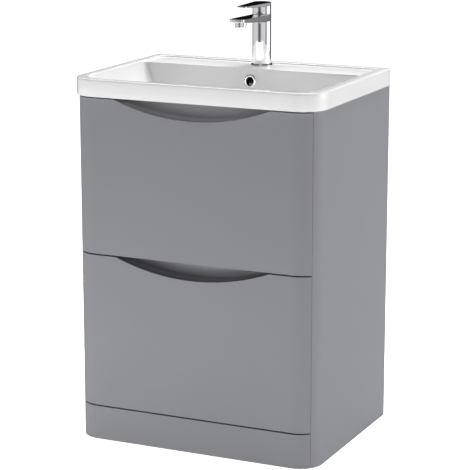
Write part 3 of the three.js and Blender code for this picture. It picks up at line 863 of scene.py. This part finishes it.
def build_screws():
    """Four in each fixed and each drawer member, and four behind each front, in its drawer."""
    sheet, drawer_end, fixed_end = 0.0012, 0.03, 0.05
    above_low, below_high, half_apart = 0.05, 0.035, 0.19
    for level in ("upper", "lower"):
        for side, word in ((1, "right"), (-1, "left")):
            low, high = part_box(f"{level}_runner_drawer_{word}")
            middle = (low[2] + high[2]) / 2
            inner = (low[0] if side > 0 else high[0]) + side * sheet
            ys = np.linspace(low[1] + drawer_end, high[1] - drawer_end, 4)
            screws(f"{level}_drawer_runner_screws_{word}", [(inner, y, middle) for y in ys],
                   (side, "X"), f"{level}_drawer")
            low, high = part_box(f"{level}_runner_fixed_{word}")
            web = (high[0] if side > 0 else low[0]) - side * sheet
            ys = np.linspace(low[1] + fixed_end, high[1] - fixed_end, 4)
            screws(f"{level}_fixed_runner_screws_{word}", [(web, y, middle) for y in ys],
                   (-side, "X"), "cabinet", height=0.0007)
        low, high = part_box(f"{level}_box_front")
        rows = (low[2] + above_low, high[2] - below_high)
        places = [(x, high[1], z) for x in (-half_apart, half_apart) for z in rows]
        screws(f"{level}_front_screws", places, (1, "Y"), f"{level}_drawer")


def build_aerator_insert():
    """A shallow rippled disc inside the nozzle: lift = 0.3 mm * cos(2 pi r / 1.6 mm)."""
    low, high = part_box("tap_aerator")
    centre = (0, (low[1] + high[1]) / 2)
    radius, recess, ripple, pitch = 0.0081, 0.0022, 0.0003, 0.0016
    r = np.linspace(0, radius, 42)
    face = low[2] + recess + ripple * np.cos(2 * np.pi * r / pitch)
    profile = np.column_stack([np.append(r, [r[-1], 0]), np.append(face, [high[2], high[2]])])
    make_piece("tap_nozzle_insert", [turned(profile, centre, steps=48)], STEEL, "cabinet",
               sharp=60)


build_screws()
build_aerator_insert()


# ------------------------------------------------------------------ the frame's own pieces

EDGE_ROUND = {
    "carcass_board": BOARD_ROUND,
    "drawer_board": 0.0006,
    "runner_steel": 0.0003,
    "brass": 0.0005,
}
slot_of = {part["node"]: part["material_slot"] for part in frame["record"]["subparts"]}
for name, obj in NODES.items():
    material = FINISHES[slot_of[name]]
    obj.data.materials.clear()
    obj.data.materials.append(material)
    if slot_of[name] in EDGE_ROUND:
        soften_cad(obj, EDGE_ROUND[slot_of[name]])


# ------------------------------------------------------------------ room, light and camera


def build_room():
    """A flat pale floor with a white glow of its own, which keeps the ground white all round."""
    size = 14.0
    mesh = bpy.data.meshes.new("floor")
    corners = [(-size, -size, 0), (size, -size, 0), (size, size, 0), (-size, size, 0)]
    mesh.from_pydata(corners, [], [(0, 1, 2, 3)])
    floor = bpy.data.objects.new("floor", mesh)
    bpy.context.scene.collection.objects.link(floor)
    material = bpy.data.materials.new("pale_floor")
    material.use_nodes = True
    shader = material.node_tree.nodes["Principled BSDF"]
    shader.inputs["Base Color"].default_value = (0.85, 0.85, 0.85, 1)
    shader.inputs["Roughness"].default_value = 0.9
    shader.inputs["Emission Color"].default_value = (1, 1, 1, 1)
    shader.inputs["Emission Strength"].default_value = 1.0
    mesh.materials.append(material)
    floor.visible_glossy = False


# Degrees round from the front, to the right, and the light that comes from there.
PANELS = [
    (-180, 0.002), (-128, 0.01), (-106, 0.64), (-34, 0.72), (-20, 0.3), (-4, 0.06), (10, 0.3),
    (20, 0.7), (64, 0.72), (72, 0.35), (88, 0.4), (96, 0.95), (128, 0.9), (142, 0.5), (154, 0.2),
    (166, 0.02), (180, 0.002),
]


def build_world():
    """Seen directly the room is white. What it sheds depends on the way round from the front.

    Panels of light stand to the left, right and far right, with dim stretches between them, and
    the wall behind the unit is dark, so polished metal shows streaks and black flats.
    """
    world = bpy.data.worlds.new("studio")
    bpy.context.scene.world = world
    world.use_nodes = True
    tree = world.node_tree
    tree.nodes.clear()
    out = tree.nodes.new("ShaderNodeOutputWorld")
    way = tree.nodes.new("ShaderNodeSeparateXYZ")
    link(tree, tree.nodes.new("ShaderNodeTexCoord").outputs["Generated"], way.inputs[0])
    toward = math_node(tree, "MULTIPLY", way.outputs["Y"], -1.0)
    turn = math_node(tree, "ARCTAN2", way.outputs["X"], toward)
    turn = math_node(tree, "DIVIDE", turn, 2 * math.pi)
    turn = math_node(tree, "ADD", turn, 0.5)
    panels = tree.nodes.new("ShaderNodeValToRGB")
    ramp = panels.color_ramp
    while len(ramp.elements) < len(PANELS):
        ramp.elements.new(0.5)
    for element, (degrees, level) in zip(ramp.elements, PANELS):
        element.position = degrees / 360 + 0.5
        element.color = (level, level, level * 1.02, 1)
    link(tree, turn, panels.inputs[0])
    height = tree.nodes.new("ShaderNodeMapRange")
    height.interpolation_type = "SMOOTHSTEP"
    fade = {"From Min": 0.02, "From Max": 0.35, "To Min": 1.0, "To Max": 0.25}
    for socket, value in fade.items():
        height.inputs[socket].default_value = value
    link(tree, way.outputs["Z"], height.inputs["Value"])
    shed = tree.nodes.new("ShaderNodeBackground")
    link(tree, height.outputs["Result"], shed.inputs["Strength"])
    link(tree, panels.outputs[0], shed.inputs["Color"])
    seen = tree.nodes.new("ShaderNodeBackground")
    seen.inputs["Color"].default_value = (1, 1, 1, 1)
    seen.inputs["Strength"].default_value = 1.05
    mix = tree.nodes.new("ShaderNodeMixShader")
    path = tree.nodes.new("ShaderNodeLightPath")
    link(tree, path.outputs["Is Camera Ray"], mix.inputs[0])
    link(tree, shed.outputs[0], mix.inputs[1])
    link(tree, seen.outputs[0], mix.inputs[2])
    link(tree, mix.outputs[0], out.inputs[0])


def soft_box(name, place, aim, width, height, power, shows):
    """A flat light; one that doesn't show lights surfaces but leaves no mirror image."""
    light = bpy.data.lights.new(name, "AREA")
    light.shape = "RECTANGLE"
    light.size, light.size_y = width, height
    light.energy = power
    obj = bpy.data.objects.new(name, light)
    obj.location = place
    obj.visible_glossy = shows
    obj.visible_camera = shows
    obj.rotation_euler = (Vector(aim) - Vector(place)).to_track_quat("-Z", "Y").to_euler()
    bpy.context.scene.collection.objects.link(obj)


CAMERA_PLACE = Vector((1.8625, -4.0130, 1.4882))
CAMERA_TURN, CAMERA_RISE = math.radians(24.816), math.radians(13.009)


def build_camera():
    """It looks at the unit from the right of its front and a little above, with no roll."""
    lens = bpy.data.cameras.new("camera")
    lens.sensor_width = 36.0
    lens.lens = 148.9
    lens.clip_end = 60
    camera = bpy.data.objects.new("camera", lens)
    level = math.cos(CAMERA_RISE)
    back = Vector(
        (math.sin(CAMERA_TURN) * level, -math.cos(CAMERA_TURN) * level, math.sin(CAMERA_RISE))
    )
    turn = back.to_track_quat("Z", "Y").to_matrix().to_4x4()
    camera.matrix_world = Matrix.Translation(CAMERA_PLACE) @ turn
    bpy.context.scene.collection.objects.link(camera)
    bpy.context.scene.camera = camera


# Name, place, aim, width, height, power, and whether it leaves a mirror image.
SOFT_BOXES = (
    ("front_soft_box", (-2.6, -2.7, 0.35), (0, 0, 0.15), 2.2, 0.8, 11, False),
    ("low_soft_box", (-0.3, -0.95, 0.06), (0, 0, 0.15), 1.4, 0.15, 2.5, False),
    ("right_soft_box", (3.2, 1.5, 1.3), (0, 0, 0.4), 2.2, 2.4, 31, True),
    ("top_soft_box", (0, 1.0, 3.3), (0, 0, 0.8), 2.4, 2.0, 164, False),
)

build_camera()
build_room()
build_world()
for box_of_light in SOFT_BOXES:
    soft_box(*box_of_light)
bpy.context.scene.view_settings.view_transform = "Standard"
